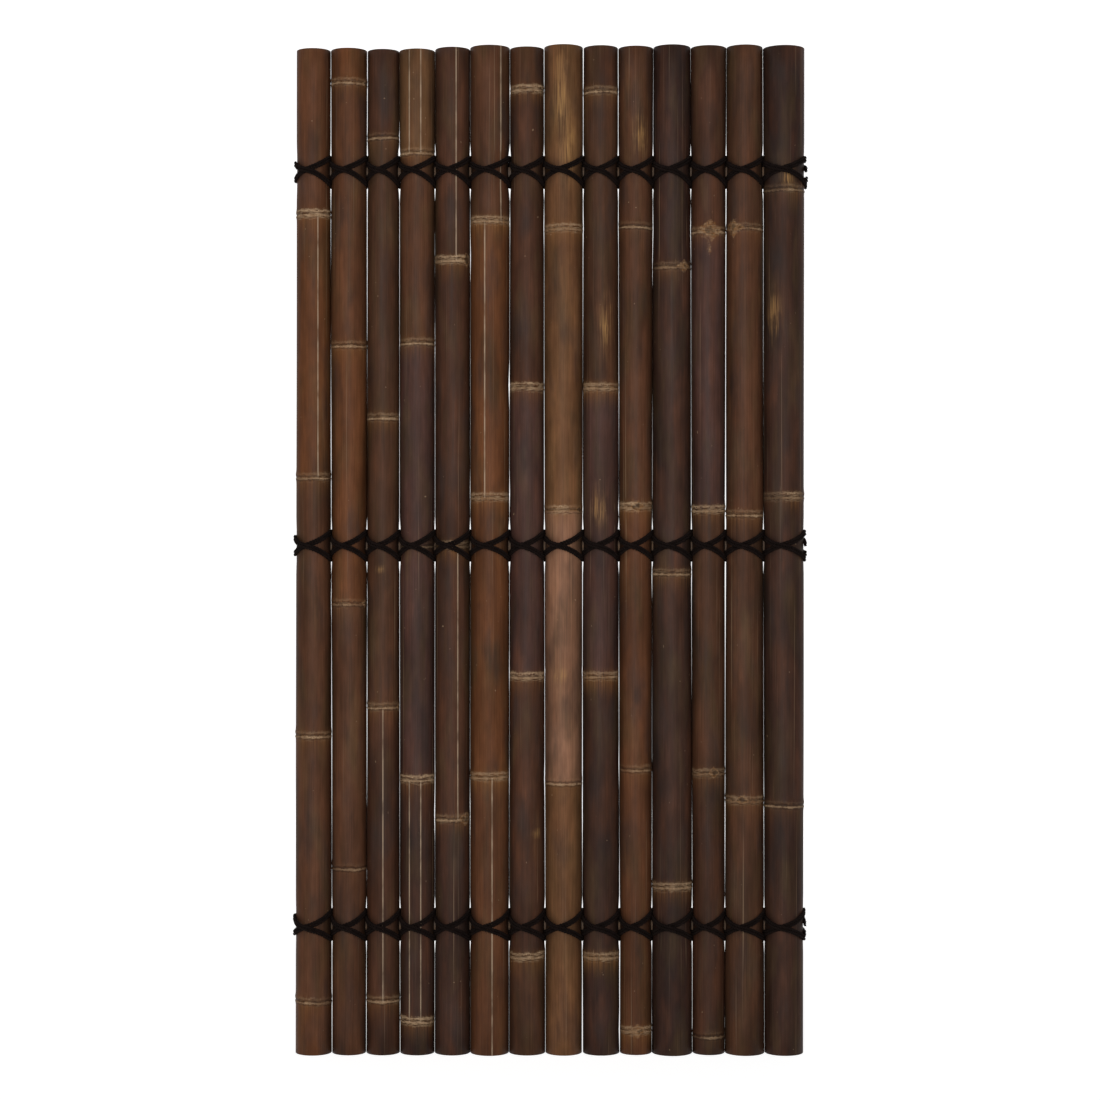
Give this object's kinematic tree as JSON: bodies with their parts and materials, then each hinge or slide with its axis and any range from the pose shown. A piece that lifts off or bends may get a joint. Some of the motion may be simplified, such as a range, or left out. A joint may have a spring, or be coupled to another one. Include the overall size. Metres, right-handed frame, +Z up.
{
  "type": "bamboo fence panel",
  "caption": "Garden fence panel of dark upright bamboo canes, threaded on hidden split laths and lashed together by rows of crossed black rope.",
  "frame": {"origin": "on the ground, at the middle of the panel's footprint", "axes": "+Z up along the canes, +X across the panel to the right as seen from the front, +Y through the panel from its front to its back"},
  "size_m": [0.9188, 0.0892, 1.8],
  "materials": {
    "bamboo": "satin dark brown culm skin, with fine upright streaks and pale node rings",
    "lath": "raw split bamboo, matt",
    "rope": "black fibre cord, matt and hairy"
  },
  "bodies": {
    "root": {"cane_01": "bamboo", "cane_02": "bamboo", "cane_03": "bamboo", "cane_04": "bamboo", "cane_05": "bamboo", "cane_06": "bamboo", "cane_07": "bamboo", "cane_08": "bamboo", "cane_09": "bamboo", "cane_10": "bamboo", "cane_11": "bamboo", "cane_12": "bamboo", "cane_13": "bamboo", "cane_14": "bamboo", "top_lath": "lath", "middle_lath": "lath", "bottom_lath": "lath", "top_rope_high": "rope", "top_rope_low": "rope", "middle_rope_high": "rope", "middle_rope_low": "rope", "bottom_rope_high": "rope", "bottom_rope_low": "rope"}
  },
  "joints": []
}
